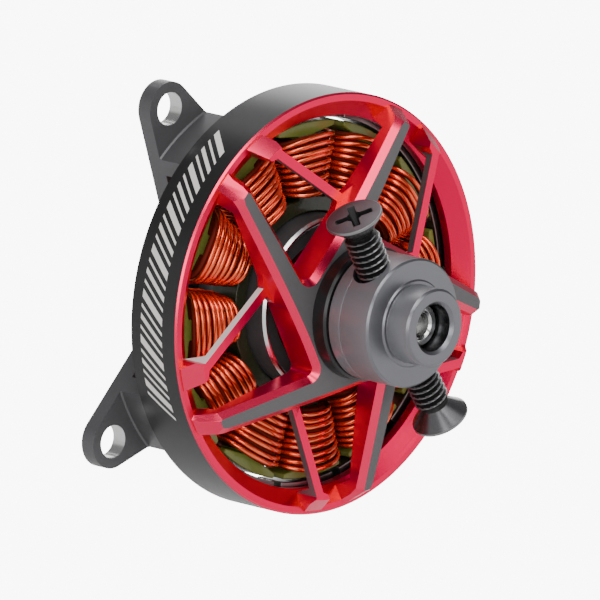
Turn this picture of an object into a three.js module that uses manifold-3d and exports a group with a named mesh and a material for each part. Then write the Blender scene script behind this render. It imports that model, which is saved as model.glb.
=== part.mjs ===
// Brushless outrunner motor with a star-shaped bell cap and a cross mount.
// Millimetres, +Z up. The shaft runs along Y and the output end points along -Y.
// The origin is the centre of the mount's rear face, the face that lies on the firewall.

import * as THREE from 'three';
import { mergeVertices } from 'three/addons/utils/BufferGeometryUtils.js';
import Module from 'manifold-3d';

const wasm = await Module();
wasm.setup();

// ---------------------------------------------------------------- driving dimensions

const BELL_R = 14;            // outer radius of the bell
const RIM_Y = -7.62;          // front face of the bell's rim
const BELL_REAR_Y = -3.4;     // rear edge of the bell's skirt
const SHAFT_R = 1.5;
const MOUNT_HOLE_SPACING = 22;  // square pattern, hole to hole
const MOUNT_HOLE_R = 1.1;
const POLE_COUNT = 14;        // magnets
const TOOTH_COUNT = 12;       // stator teeth and coils
const STATOR_PHASE = 15;      // direction of the first tooth, from +X towards +Z
const ARM_COUNT = 5;          // star arms of the cap, and thin spokes

const SLIP = 0.05;            // radial gap between pieces pressed or bonded together
const GAP = 0.3;              // working gap between pieces that pass each other

const ROUND = { bell: 96, hub: 64, shaft: 32, race: 40, small: 24 };

// cap
const RIM_INNER_R = 12.4;
const RIM_FLAT_R = 13.45;     // the rim is flat outside this and slopes back inside it
const RIM_SLOPE_Y = -6.8;
const RIM_BACK_Y = -6.2;      // seat of the flux ring
const RIM_CHAMFER = 0.12;
const RIM_OVERLAP = { axial: 0.1, outer: 0.2, inner: 0.3 };
const SKIRT_INNER_R = 13.55;
const ARM_END_R = 12.8;       // the arms' top runs out to here, then drops to the rim
const ARM_END_Y = -9.21;
const ARM_BOSS_Y = -10.59;    // height of the arms' top where it meets the boss
const ARM_UNDER_Y = -8.2;
const FOOT_R = 13.75;         // where arms and spokes land on the rim
const FOOT_Y = -7.67;
const BOSS_R = 4.45;
const BOSS_Y = -11.7;
const ARM_SIDE = { leading: 5.0, trailing: 2.83 };   // distance of each side from the axis
const ARM_ROOT = 3.2;         // how far an arm's outline runs back past the foot of its normal
const ARM_ANGLE = { leading: 147.9, trailing: 151.0 }; // direction of each side's normal
const SPOKE_ANGLE = 69.6;     // direction of the first spoke's normal
const SPOKE_OFFSET = 6.0;     // distance of the spokes from the axis
const SPOKE_WIDTH = 0.64;
const SPOKE_TOP_Y = -8.83;
const SPOKE_UNDER_Y = -8.33;
const GUSSET = { arm: 1.6, spoke: 0.7 }; // legs of the triangles where a spoke joins an arm

// rotor
const MAGNET_R = { inner: 12.1, outer: 12.95 };
const MAGNET_Y = { front: -5.9, rear: -3.6 };
const MAGNET_FILL = 0.88;     // part of the pole pitch that a magnet covers
const FLUX_R = { inner: 13.0, outer: 13.5 };
const FLUX_Y = { front: -6.15, rear: -3.5 };
const SHAFT_Y = { front: -16.1, rear: -0.3 };
const CENTRE_DRILL = { r: 0.8, depth: 1.6 };
const CLIP_Y = { front: -0.84, rear: -0.54 };
const CLIP_R = { inner: 1.25, outer: 2.5 };
const CLIP_OPENING = 70;      // degrees
const SHIM_Y = { front: -0.97, rear: -0.87 };
const SPACER_R = 2.2;
const SHAFT_CHAMFER = 0.15;
const GROOVE_PLAY = 0.02;     // how much wider the clip's groove is on each side

// propeller hub and its screws
const HUB_R = 4.27;
const HUB_Y = { rear: -11.75, seat: -15.4, pilot: -17.4 };
const PILOT_R = 2.6;
const HUB_CHAMFER = 0.2;
const SCREW_Y = -13.6;
const SCREWS = {              // directions, from +X towards +Z, and distances of the heads' tops
  upper: { angle: 130.2, top: 8.3 },
  lower: { angle: 314.8, top: 8.62 },
};
const SCREW_R = 1.18;
const SCREW_HEAD_R = 1.9;
const SCREW_HEAD_DEPTH = 1.2;
const SCREW_EDGE = 0.2;       // bevel of the screw's tip and thickness of its head's rim
const SCREW_SLOT = { width: 0.5, depth: 0.7, length: 2.0 };
const SCREW_LENGTH = 6.6;     // from the head's top to the tip

// bearings
const RACE_R = { bore: 1.55, inner: 2.3, outer: 3.3, rim: 3.95 };
const BEARING_WIDTH = 2.5;
const REAR_BEARING_Y = -1.0;  // rear faces of the two bearings
const FRONT_BEARING_Y = -3.95;
const SHIELD = { r: 2.42, thick: 0.15 };
const BALL_COUNT = 7;
const BALL_R = 0.45;
const CAGE_HALF = { radial: 0.12, axial: 0.2 };

// mount
const TAB_THICK = 1.1;
const PLATE_THICK = 1.35;
const TAB_TIP_R = 1.8;
const TAB_TAPER = 14.5;       // degrees that each flank opens towards the centre
const SHOULDER_R = { inner: 12.45, outer: 13.48 };
const SHOULDER_Y = -3.0;
const TUBE_R = 5.8;
const TUBE_Y = -7.5;
const TUBE_RECESS = { r: 5.35, y: -6.7 };
const TUBE_BORE_R = 4.0;
const TUBE_STOP = { r: 3.4, front: -3.9, rear: -3.55 };

// stator
const CORE_Y = { front: -5.9, rear: -3.6 };
const YOKE_R = { inner: 5.9, outer: 6.9 };
const TOOTH_WIDTH = 1.4;
const TIP_R = { neck: 11.05, corner: 11.6, outer: 11.93 };
const TIP_ARC = 25.5;         // degrees that a tooth's tip spans
const COIL_R = { inner: 7.0, outer: 11.0 };
const COIL_HALF = { inner: 1.75, outer: 2.82, axial: 2.3, bend: 0.55 };

// ---------------------------------------------------------------- helpers

const rad = THREE.MathUtils.degToRad;
const polar = (r, degrees) => new THREE.Vector2(r * Math.cos(rad(degrees)), r * Math.sin(rad(degrees)));

// A closed mesh as a manifold solid, with its faces turned outwards.
function toSolid(geometry) {
  const bare = geometry.index ? geometry.toNonIndexed() : geometry.clone();
  bare.deleteAttribute('normal');
  bare.deleteAttribute('uv');
  const merged = mergeVertices(bare, 1e-5);
  const p = merged.attributes.position;
  const index = Array.from(merged.index.array);
  const kept = [];
  let volume = 0;
  const a = new THREE.Vector3();
  const b = new THREE.Vector3();
  const c = new THREE.Vector3();
  for (let i = 0; i < index.length; i += 3) {
    const [u, v, w] = index.slice(i, i + 3);
    if (u === v || v === w || w === u) continue;
    kept.push([u, v, w]);
    a.fromBufferAttribute(p, u);
    b.fromBufferAttribute(p, v);
    c.fromBufferAttribute(p, w);
    volume += a.dot(b.cross(c));
  }
  const triangles = kept.flatMap(([u, v, w]) => (volume < 0 ? [u, w, v] : [u, v, w]));
  return new wasm.Manifold(new wasm.Mesh({
    numProp: 3,
    vertProperties: new Float32Array(p.array),
    triVerts: new Uint32Array(triangles),
  }));
}

// A manifold solid as a geometry for a mesh.
function toGeometry(solid) {
  const mesh = solid.getMesh();
  const geometry = new THREE.BufferGeometry();
  geometry.setAttribute('position', new THREE.BufferAttribute(Float32Array.from(mesh.vertProperties), 3));
  geometry.setIndex(Array.from(mesh.triVerts));
  geometry.computeVertexNormals();
  return geometry;
}

const join = (solids) => solids.reduce((sum, solid) => sum.add(solid));
const cut = (solid, tools) => tools.reduce((rest, tool) => rest.subtract(tool), solid);

// Turns a closed profile of [radius, y] points about the motor's axis.
function turned(profile, segments) {
  const points = profile.map(([r, y]) => new THREE.Vector2(r, y));
  return toSolid(new THREE.LatheGeometry([...points, points[0]], segments));
}

// A plain ring or, with inner 0, a plain disc.
function ring(inner, outer, front, rear, segments) {
  if (inner > 0) {
    return turned([[inner, front], [outer, front], [outer, rear], [inner, rear]], segments);
  }
  const disc = new THREE.CylinderGeometry(outer, outer, rear - front, segments);
  disc.translate(0, (front + rear) / 2, 0);
  return toSolid(disc);
}

// An outline in the X-Z plane, made as thick as the space between two values of Y.
function slab(shape, front, rear, curveSegments = 12) {
  const geometry = new THREE.ExtrudeGeometry(shape, { depth: rear - front, bevelEnabled: false, curveSegments });
  geometry.rotateX(Math.PI / 2);
  geometry.translate(0, rear, 0);
  return toSolid(geometry);
}

const outline = (points) => new THREE.Shape(points);

// A copy of a solid turned about the motor's axis, from +X towards +Z.
function spun(solid, degrees) {
  return solid.rotate([0, -degrees, 0]);
}

// The point where two lines cross; each line is a normal direction and a distance from the axis.
function crossing(lineA, lineB) {
  const a = polar(1, lineA.angle);
  const b = polar(1, lineB.angle);
  const det = a.x * b.y - a.y * b.x;
  return new THREE.Vector2(
    (lineA.offset * b.y - lineB.offset * a.y) / det,
    (lineB.offset * a.x - lineA.offset * b.x) / det,
  );
}

// The point of a line that lies at a given distance along it from the foot of its normal.
function along(line, distance) {
  return polar(line.offset, line.angle).add(polar(distance, line.angle - 90));
}

// ---------------------------------------------------------------- bell cap

function armOutline(i) {
  const turn = (360 / ARM_COUNT) * i;
  const leading = { angle: ARM_ANGLE.leading + turn, offset: ARM_SIDE.leading };
  const trailing = { angle: ARM_ANGLE.trailing + turn, offset: ARM_SIDE.trailing };
  return outline([
    along(leading, BELL_R), along(trailing, BELL_R),
    along(trailing, -ARM_ROOT), along(leading, -ARM_ROOT),
  ]);
}

function spokeOutlines(i) {
  const turn = (360 / ARM_COUNT) * i;
  const line = { angle: SPOKE_ANGLE + turn, offset: SPOKE_OFFSET };
  const inner = { angle: line.angle, offset: SPOKE_OFFSET - SPOKE_WIDTH / 2 };
  const outer = { angle: line.angle, offset: SPOKE_OFFSET + SPOKE_WIDTH / 2 };
  // The spoke starts under the leading side of the arm that it meets.
  const arm = { angle: ARM_ANGLE.leading + turn, offset: ARM_SIDE.leading - GAP };
  const rootInner = crossing(inner, arm);
  const rootOuter = crossing(outer, arm);
  const reach = -BELL_R;
  const bar = outline([rootInner, along(inner, reach), along(outer, reach), rootOuter]);
  const armUp = polar(1, arm.angle - 90);
  const spokeOut = polar(1, line.angle + 90);
  const gusset = outline([
    rootOuter.clone().addScaledVector(armUp, GUSSET.arm),
    rootInner.clone().addScaledVector(armUp, -GUSSET.arm),
    rootInner.clone().addScaledVector(spokeOut, GUSSET.spoke),
    rootOuter.clone().addScaledVector(spokeOut, GUSSET.spoke),
  ]);
  return [bar, gusset];
}

function makeBellCap() {
  const rim = turned([
    [BELL_R, BELL_REAR_Y],
    [BELL_R, RIM_Y + RIM_CHAMFER],
    [BELL_R - RIM_CHAMFER, RIM_Y],
    [RIM_FLAT_R, RIM_Y],
    [RIM_INNER_R, RIM_SLOPE_Y],
    [RIM_INNER_R, RIM_BACK_Y],
    [SKIRT_INNER_R, RIM_BACK_Y],
    [SKIRT_INNER_R, BELL_REAR_Y],
  ], ROUND.bell);

  // The arms and spokes run a little way into the rim, so that they join it.
  const underRim = RIM_SLOPE_Y - RIM_OVERLAP.axial;
  const outerRoot = RIM_INNER_R + RIM_OVERLAP.outer;
  const innerRoot = RIM_INNER_R - RIM_OVERLAP.inner;
  const armEnvelope = turned([
    [0, ARM_BOSS_Y],
    [BOSS_R, ARM_BOSS_Y],
    [ARM_END_R, ARM_END_Y],
    [FOOT_R, FOOT_Y],
    [FOOT_R, underRim],
    [outerRoot, underRim],
    [innerRoot, ARM_UNDER_Y],
    [0, ARM_UNDER_Y],
  ], ROUND.bell);
  const spokeEnvelope = turned([
    [0, SPOKE_TOP_Y],
    [ARM_END_R, SPOKE_TOP_Y],
    [FOOT_R, FOOT_Y],
    [FOOT_R, underRim],
    [outerRoot, underRim],
    [innerRoot, SPOKE_UNDER_Y],
    [0, SPOKE_UNDER_Y],
  ], ROUND.bell);

  const front = BOSS_Y - 1;
  const arms = [];
  const spokes = [];
  for (let i = 0; i < ARM_COUNT; i += 1) {
    arms.push(slab(armOutline(i), front, RIM_BACK_Y));
    spokes.push(...spokeOutlines(i).map((shape) => slab(shape, front, RIM_BACK_Y)));
  }
  const star = join(arms).intersect(armEnvelope);
  const web = join(spokes).intersect(spokeEnvelope);
  const boss = ring(0, BOSS_R, BOSS_Y, ARM_UNDER_Y, ROUND.hub);
  const bore = ring(0, SHAFT_R + SLIP, front, RIM_BACK_Y, ROUND.shaft);
  return cut(join([rim, star, web, boss]), [bore]);
}

// ---------------------------------------------------------------- rotor pieces

function arcOutline(inner, outer, span, steps) {
  const points = [];
  for (let i = 0; i <= steps; i += 1) points.push(polar(outer, span * (i / steps - 0.5)));
  for (let i = steps; i >= 0; i -= 1) points.push(polar(inner, span * (i / steps - 0.5)));
  return outline(points);
}

function makeMagnet(i) {
  const pitch = 360 / POLE_COUNT;
  const shape = arcOutline(MAGNET_R.inner, MAGNET_R.outer, pitch * MAGNET_FILL, 5);
  return spun(slab(shape, MAGNET_Y.front, MAGNET_Y.rear), pitch * i);
}

function makeShaft() {
  const groove = CLIP_R.inner - SLIP;
  const { r, depth } = CENTRE_DRILL;
  return turned([
    [0, SHAFT_Y.front + depth + r / 2],
    [r, SHAFT_Y.front + depth],
    [r, SHAFT_Y.front],
    [SHAFT_R - SHAFT_CHAMFER, SHAFT_Y.front],
    [SHAFT_R, SHAFT_Y.front + SHAFT_CHAMFER],
    [SHAFT_R, CLIP_Y.front - GROOVE_PLAY],
    [groove, CLIP_Y.front - GROOVE_PLAY],
    [groove, CLIP_Y.rear + GROOVE_PLAY],
    [SHAFT_R, CLIP_Y.rear + GROOVE_PLAY],
    [SHAFT_R, SHAFT_Y.rear - SHAFT_CHAMFER],
    [SHAFT_R - SHAFT_CHAMFER, SHAFT_Y.rear],
    [0, SHAFT_Y.rear],
  ], ROUND.shaft);
}

function makeHub() {
  const body = turned([
    [SHAFT_R + SLIP, HUB_Y.rear],
    [HUB_R - HUB_CHAMFER, HUB_Y.rear],
    [HUB_R, HUB_Y.rear - HUB_CHAMFER],
    [HUB_R, HUB_Y.seat + HUB_CHAMFER],
    [HUB_R - HUB_CHAMFER, HUB_Y.seat],
    [PILOT_R, HUB_Y.seat],
    [PILOT_R, HUB_Y.pilot + HUB_CHAMFER],
    [PILOT_R - HUB_CHAMFER, HUB_Y.pilot],
    [SHAFT_R + SLIP + HUB_CHAMFER / 2, HUB_Y.pilot],
    [SHAFT_R + SLIP, HUB_Y.pilot + HUB_CHAMFER / 2],
  ], ROUND.hub);
  const hole = ring(0, SCREW_R + SLIP, -HUB_R - 1, 0, ROUND.small).rotate([0, 0, 90]);
  const holes = Object.values(SCREWS).map(({ angle }) => spun(hole, angle).translate([0, SCREW_Y, 0]));
  return cut(body, holes);
}

// A countersunk screw that lies along +X from the motor's axis, then is turned to its place.
function makeScrew({ angle, top }) {
  const neck = top - SCREW_HEAD_DEPTH;
  const tip = top - SCREW_LENGTH;
  const body = turned([
    [0, tip],
    [SCREW_R - SCREW_EDGE, tip],
    [SCREW_R, tip + SCREW_EDGE],
    [SCREW_R, neck],
    [SCREW_HEAD_R, top - SCREW_EDGE],
    [SCREW_HEAD_R, top],
    [0, top],
  ], ROUND.small);
  const slot = new THREE.BoxGeometry(SCREW_SLOT.width, 2 * SCREW_SLOT.depth, SCREW_SLOT.length);
  slot.translate(0, top, 0);
  const across = slot.clone().rotateY(Math.PI / 2);
  const headed = cut(body, [toSolid(slot), toSolid(across)]);
  return spun(headed.rotate([0, 0, -90]), angle).translate([0, SCREW_Y, 0]);
}

function makeClip() {
  const whole = ring(CLIP_R.inner, CLIP_R.outer, CLIP_Y.front, CLIP_Y.rear, ROUND.small);
  const mouth = outline([
    new THREE.Vector2(0, 0),
    polar(2 * CLIP_R.outer, -90 - CLIP_OPENING / 2),
    polar(2 * CLIP_R.outer, -90 + CLIP_OPENING / 2),
  ]);
  return whole.subtract(slab(mouth, CLIP_Y.front - 1, CLIP_Y.rear + 1));
}

// ---------------------------------------------------------------- bearings

function makeOuterRace(rear) {
  const front = rear - BEARING_WIDTH;
  const { r, thick } = SHIELD;
  return turned([
    [r, front], [RACE_R.rim, front], [RACE_R.rim, rear], [r, rear],
    [r, rear - thick], [RACE_R.outer, rear - thick],
    [RACE_R.outer, front + thick], [r, front + thick],
  ], ROUND.race);
}

function makeInnerRace(rear) {
  return ring(RACE_R.bore, RACE_R.inner, rear - BEARING_WIDTH, rear, ROUND.race);
}

function makeBallSet(rear) {
  const middle = rear - BEARING_WIDTH / 2;
  const pitchR = (RACE_R.inner + RACE_R.outer) / 2;
  const { radial, axial } = CAGE_HALF;
  const cage = ring(pitchR - radial, pitchR + radial, middle - axial, middle + axial, ROUND.race);
  const balls = [];
  for (let i = 0; i < BALL_COUNT; i += 1) {
    const ball = new THREE.SphereGeometry(BALL_R, 10, 8);
    const place = polar(pitchR, (360 / BALL_COUNT) * i);
    ball.translate(place.x, middle, place.y);
    balls.push(toSolid(ball));
  }
  return join([cage, ...balls]);
}

// ---------------------------------------------------------------- mount

function tabOutline() {
  const holeR = MOUNT_HOLE_SPACING / Math.SQRT2;
  const shape = new THREE.Shape();
  const start = polar(TAB_TIP_R, 90 - TAB_TAPER);
  const rootHalf = TAB_TIP_R / Math.cos(rad(TAB_TAPER)) + holeR * Math.tan(rad(TAB_TAPER));
  shape.moveTo(0, -rootHalf);
  shape.lineTo(holeR + start.x, -start.y);
  shape.absarc(holeR, 0, TAB_TIP_R, -rad(90 - TAB_TAPER), rad(90 - TAB_TAPER), false);
  shape.lineTo(0, rootHalf);
  return shape;
}

function makeMount() {
  const holeR = MOUNT_HOLE_SPACING / Math.SQRT2;
  const thinDisc = ring(0, holeR + 5, -TAB_THICK, 0, ROUND.bell);
  const thickDisc = ring(0, SHOULDER_R.outer, -PLATE_THICK, 0, ROUND.bell);
  const shoulder = ring(SHOULDER_R.inner, SHOULDER_R.outer, SHOULDER_Y, 0, ROUND.bell);
  const levels = join([thinDisc, thickDisc, shoulder]);

  const tab = slab(tabOutline(), SHOULDER_Y - 1, 1);
  const arms = [];
  const holes = [];
  for (let i = 0; i < 4; i += 1) {
    const direction = 45 + 90 * i;
    const centre = polar(holeR, direction);
    arms.push(spun(tab, direction));
    holes.push(ring(0, MOUNT_HOLE_R, SHOULDER_Y, 1, ROUND.small).translate([centre.x, 0, centre.y]));
  }
  const cross = join(arms).intersect(levels);
  const tube = ring(0, TUBE_R, TUBE_Y, 0, ROUND.hub);
  const bores = turned([
    [0, TUBE_Y - 1],
    [TUBE_RECESS.r, TUBE_Y - 1],
    [TUBE_RECESS.r, TUBE_RECESS.y],
    [TUBE_BORE_R, TUBE_RECESS.y],
    [TUBE_BORE_R, TUBE_STOP.front],
    [TUBE_STOP.r, TUBE_STOP.front],
    [TUBE_STOP.r, TUBE_STOP.rear],
    [TUBE_BORE_R, TUBE_STOP.rear],
    [TUBE_BORE_R, 1],
    [0, 1],
  ], ROUND.hub);
  return cut(cross.add(tube), [bores, ...holes]);
}

// ---------------------------------------------------------------- stator

function coreOutline() {
  const pitch = 360 / TOOTH_COUNT;
  const half = TOOTH_WIDTH / 2;
  const rootX = Math.sqrt(YOKE_R.outer ** 2 - half ** 2);
  const steps = 4;
  const points = [];
  for (let i = 0; i < TOOTH_COUNT; i += 1) {
    const centre = STATOR_PHASE + pitch * i;
    const place = (x, y) => new THREE.Vector2(x, y).rotateAround(new THREE.Vector2(0, 0), rad(centre));
    points.push(place(rootX, -half), place(TIP_R.neck, -half));
    points.push(polar(TIP_R.corner, centre - TIP_ARC / 2));
    for (let k = 0; k <= steps; k += 1) points.push(polar(TIP_R.outer, centre + TIP_ARC * (k / steps - 0.5)));
    points.push(polar(TIP_R.corner, centre + TIP_ARC / 2));
    points.push(place(TIP_R.neck, half), place(rootX, half));
    points.push(polar(YOKE_R.outer, centre + pitch / 2));
  }
  return outline(points);
}

function makeCore() {
  const body = slab(coreOutline(), CORE_Y.front, CORE_Y.rear);
  return body.subtract(ring(0, YOKE_R.inner, CORE_Y.front - 1, CORE_Y.rear + 1, ROUND.hub));
}

// One coil: a wedge with bevelled ends and a hole for its tooth.
function makeCoil(i) {
  const middle = (CORE_Y.front + CORE_Y.rear) / 2;
  const { inner, outer, axial, bend } = COIL_HALF;
  const section = outline([
    new THREE.Vector2(-axial + bend, -1), new THREE.Vector2(-axial, -1 + bend),
    new THREE.Vector2(-axial, 1 - bend), new THREE.Vector2(-axial + bend, 1),
    new THREE.Vector2(axial - bend, 1), new THREE.Vector2(axial, 1 - bend),
    new THREE.Vector2(axial, -1 + bend), new THREE.Vector2(axial - bend, -1),
  ]);
  const geometry = new THREE.ExtrudeGeometry(section, { depth: 1, bevelEnabled: false });
  const p = geometry.attributes.position;
  for (let k = 0; k < p.count; k += 1) {
    const far = p.getZ(k);
    const half = inner + (outer - inner) * far;
    const r = COIL_R.inner + (COIL_R.outer - COIL_R.inner) * far;
    p.setXYZ(k, r, p.getX(k) + middle, p.getY(k) * half);
  }
  const tooth = new THREE.BoxGeometry(20, CORE_Y.rear - CORE_Y.front + GAP, TOOTH_WIDTH + GAP);
  tooth.translate(9, middle, 0);
  const coil = toSolid(geometry).subtract(toSolid(tooth));
  return spun(coil, STATOR_PHASE + (360 / TOOTH_COUNT) * i);
}

// ---------------------------------------------------------------- finishes

const finish = (color, roughness, metalness) => new THREE.MeshStandardMaterial({ color, roughness, metalness });
const FINISH = {
  redAnodised: () => finish(0xb3122b, 0.35, 0.8),
  blackAnodised: () => finish(0x1d1d20, 0.5, 0.6),
  steel: () => finish(0xb9bcc0, 0.3, 1),
  hubMetal: () => finish(0x8d8b90, 0.35, 1),
  blackOxide: () => finish(0x17171a, 0.4, 0.8),
  nickel: () => finish(0xd5d5d2, 0.25, 1),
  copper: () => finish(0xb4451c, 0.3, 0.7),
  epoxy: () => finish(0x5a6132, 0.5, 0),
};

// ---------------------------------------------------------------- assembly

const motor = new THREE.Group();
motor.name = 'outrunner_motor';

function add(parent, name, solid, material) {
  const mesh = new THREE.Mesh(toGeometry(solid), material());
  mesh.name = name;
  parent.add(mesh);
}

const number = (i) => String(i + 1).padStart(2, '0');

const rotor = new THREE.Group();
add(rotor, 'bell_cap', makeBellCap(), FINISH.redAnodised);
add(rotor, 'flux_ring', ring(FLUX_R.inner, FLUX_R.outer, FLUX_Y.front, FLUX_Y.rear, ROUND.bell), FINISH.steel);
for (let i = 0; i < POLE_COUNT; i += 1) add(rotor, `magnet_${number(i)}`, makeMagnet(i), FINISH.nickel);
add(rotor, 'shaft', makeShaft(), FINISH.steel);
add(rotor, 'prop_hub', makeHub(), FINISH.hubMetal);
add(rotor, 'hub_screw_upper', makeScrew(SCREWS.upper), FINISH.blackOxide);
add(rotor, 'hub_screw_lower', makeScrew(SCREWS.lower), FINISH.blackOxide);
const spacerFront = ARM_UNDER_Y + SLIP;
const spacerRear = FRONT_BEARING_Y - BEARING_WIDTH - SLIP;
add(rotor, 'front_spacer', ring(SHAFT_R + SLIP, SPACER_R, spacerFront, spacerRear, ROUND.shaft), FINISH.steel);
add(rotor, 'rear_shim', ring(SHAFT_R + SLIP, SPACER_R, SHIM_Y.front, SHIM_Y.rear, ROUND.shaft), FINISH.steel);
add(rotor, 'retaining_clip', makeClip(), FINISH.blackOxide);
add(rotor, 'front_bearing_inner_race', makeInnerRace(FRONT_BEARING_Y), FINISH.steel);
add(rotor, 'rear_bearing_inner_race', makeInnerRace(REAR_BEARING_Y), FINISH.steel);
motor.add(rotor);

const stator = new THREE.Group();
add(stator, 'mount', makeMount(), FINISH.blackAnodised);
add(stator, 'stator_core', makeCore(), FINISH.epoxy);
for (let i = 0; i < TOOTH_COUNT; i += 1) add(stator, `coil_${number(i)}`, makeCoil(i), FINISH.copper);
add(stator, 'front_bearing_outer_race', makeOuterRace(FRONT_BEARING_Y), FINISH.steel);
add(stator, 'rear_bearing_outer_race', makeOuterRace(REAR_BEARING_Y), FINISH.steel);
motor.add(stator);

const ballSets = new THREE.Group();
add(ballSets, 'front_bearing_balls', makeBallSet(FRONT_BEARING_Y), FINISH.steel);
add(ballSets, 'rear_bearing_balls', makeBallSet(REAR_BEARING_Y), FINISH.steel);
motor.add(ballSets);

export default motor;
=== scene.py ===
"""The looks of a brushless outrunner motor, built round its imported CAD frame.

Sizes are in millimetres until a mesh is made. The shaft runs along Y and its output end
points along -Y. Angles are in degrees from +X towards +Z.
"""

import math
import random

import bmesh
import bpy
import numpy as np
from mathutils import Matrix, Vector


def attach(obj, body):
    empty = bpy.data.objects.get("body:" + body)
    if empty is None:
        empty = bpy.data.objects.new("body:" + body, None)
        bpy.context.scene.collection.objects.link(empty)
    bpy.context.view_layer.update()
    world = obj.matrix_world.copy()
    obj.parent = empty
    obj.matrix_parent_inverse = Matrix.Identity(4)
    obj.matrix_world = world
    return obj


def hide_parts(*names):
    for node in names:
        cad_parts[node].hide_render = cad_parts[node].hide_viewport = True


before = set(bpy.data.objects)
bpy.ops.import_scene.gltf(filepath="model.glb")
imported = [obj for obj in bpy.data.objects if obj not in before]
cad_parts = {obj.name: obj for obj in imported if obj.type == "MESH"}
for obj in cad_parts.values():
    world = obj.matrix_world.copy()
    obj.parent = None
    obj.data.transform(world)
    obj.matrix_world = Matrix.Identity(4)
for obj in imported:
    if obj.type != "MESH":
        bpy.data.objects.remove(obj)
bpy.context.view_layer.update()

MM = 0.001

# ---------------------------------------------------------------- driving sizes

BELL_R = 14.0
RIM_Y = -7.62
SHAFT_R = 1.5
ARM_COUNT = 5
ARM_PITCH = 360 / ARM_COUNT
TOOTH_COUNT = 12
TOOTH_PITCH = 360 / TOOTH_COUNT
STATOR_PHASE = 15.0           # direction of the first tooth
POLE_COUNT = 14

RIM = {"chamfer": 0.12, "flat_r": 13.45, "inner_r": 12.4, "slope_y": -6.8, "back_y": -6.2}
SKIRT = {"inner_r": 13.55, "rear_y": -3.4, "edge": 0.12}
CONE = {"boss_r": 4.45, "boss_y": -10.59, "end_r": 12.8, "end_y": -9.21}
FOOT = {"r": 13.75, "y": -7.67}   # where arms and spokes land on the rim
BOSS_FRONT_Y = -11.7
RIM_OVERLAP = {"axial": 0.1, "outer": 0.2, "inner": 0.3}   # how far arms and rim run into each other
SLIP = 0.05                   # radial gap between the shaft and what is pressed on it
ARM_UNDER_Y = -8.2
ARM_LEADING = {"angle": 147.9, "offset": 5.0}
ARM_TRAILING = {"angle": 151.0, "offset": 2.83}
ARM_CHAMFER = 0.4
WINDOW_CORNER_R = 0.45
SPOKE = {"angle": 69.6, "offset": 6.0, "width": 0.64, "top_y": -8.83, "under_y": -8.33}
GUSSET = {"arm": 1.6, "spoke": 0.7}
SPOKE_FOOT = 1.4              # width of a spoke where it lands on the rim
PAINTED_LIT_SPOKE = 1                # the one spoke whose sides are painted light: a painted highlight where the key light falls

MAGNET = {"inner": 12.1, "outer": 12.95, "front": -5.9, "rear": -3.6, "fill": 0.88}
FLUX = {"inner": 13.0, "outer": 13.5, "front": -6.15, "rear": -3.5}
HUB = {"r": 4.27, "rear": -11.75, "seat": -15.4, "pilot_r": 2.6, "pilot": -17.4, "groove": -12.85}
SCREW = {"y": -13.6, "length": 6.6, "major": 1.18, "minor": 0.82, "pitch": 0.45}
SCREW_HEAD = {"r": 1.9, "depth": 1.2, "edge": 0.2, "neck": 0.12, "recess_turn": -38}
SCREWS = {
    "hub_screw_upper": {"angle": 130.2, "top": 8.3},
    "hub_screw_lower": {"angle": 314.8, "top": 8.62},
}
SHAFT_Y = {"front": -16.1, "rear": -0.3}
CENTRE_DRILLING = {"mouth_r": 1.0, "r": 0.85, "deep": 1.6, "point": 2.1}
CLIP_GROOVE = {"r": 1.2, "front": -0.86, "rear": -0.52}

BEARING = {"bore": 1.55, "inner": 2.3, "outer": 3.3, "rim": 3.95, "width": 2.5}
SHIELD = {"inner": 2.42, "outer": 3.4, "sunk": 0.06, "back": 0.15}
BEARING_REAR = {"rear_bearing": -1.0, "front_bearing": -3.95}

MOUNT_HOLE_R = 1.1
MOUNT_HOLES_AT = 22.0 / math.sqrt(2)   # their distance from the axis; they are 22 mm apart
TAB = {"thick": 1.1, "plate": 1.35, "tip_r": 1.8, "taper": 14.5}
SHOULDER = {"inner": 12.45, "outer": 13.48, "y": -3.0}
TUBE = {"r": 5.8, "y": -7.5, "recess_r": 5.35, "recess_y": -6.7, "bore_r": 4.0, "lip": 0.16}
TUBE_STOP = {"r": 3.4, "front": -3.9, "rear": -3.55}

CORE = {"front": -5.9, "rear": -3.6, "yoke_inner": 5.9, "yoke_outer": 6.9, "tooth": 1.4}
TIP = {"neck": 11.05, "corner": 11.6, "outer": 11.93, "arc": 25.5}
COIL = {"inner_r": 7.0, "outer_r": 11.0, "inner_half": 1.75, "outer_half": 2.82, "axial": 2.3}
WIRE_R = 0.165
COIL_TURNS = 10
COIL_BULGE = 0.55             # how far the end turns lean out over the tooth tips
COIL_BEND = 0.78              # 1 is an oval turn and 0 a square one
COIL_STRAY = {"along": 0.085, "across": 0.055}   # how far a wire strays from its even place
LAYER_INSET = 1.7             # the first layer's depth under the second, in wire radii
FILLING_INSET = 2.9           # the filling's depth under the coil's outline, in wire radii

PRINT_BAND = {
    "front": -6.35, "rear": -4.4, "start": 140.0, "bars": 26, "widths": (2.2, 0.9, 1.5, 0.9),
    "gap": 1.7, "lean": -7.0,
}

EDGE = 0.05                   # rounding of machined edges
ROUND_STEPS = 240             # steps of a full turn on the bell


# ---------------------------------------------------------------- mesh helpers

def polar(radius, degrees):
    """A point (x, z) of the X-Z plane."""
    return Vector((radius * math.cos(math.radians(degrees)), radius * math.sin(math.radians(degrees))))


def link(mesh, name, materials):
    """A mesh whose sizes are in millimetres as an object in metres, with its materials."""
    mesh.transform(Matrix.Scale(MM, 4))
    for material in materials:
        mesh.materials.append(material)
    obj = bpy.data.objects.new(name, mesh)
    bpy.context.scene.collection.objects.link(obj)
    return obj


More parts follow.
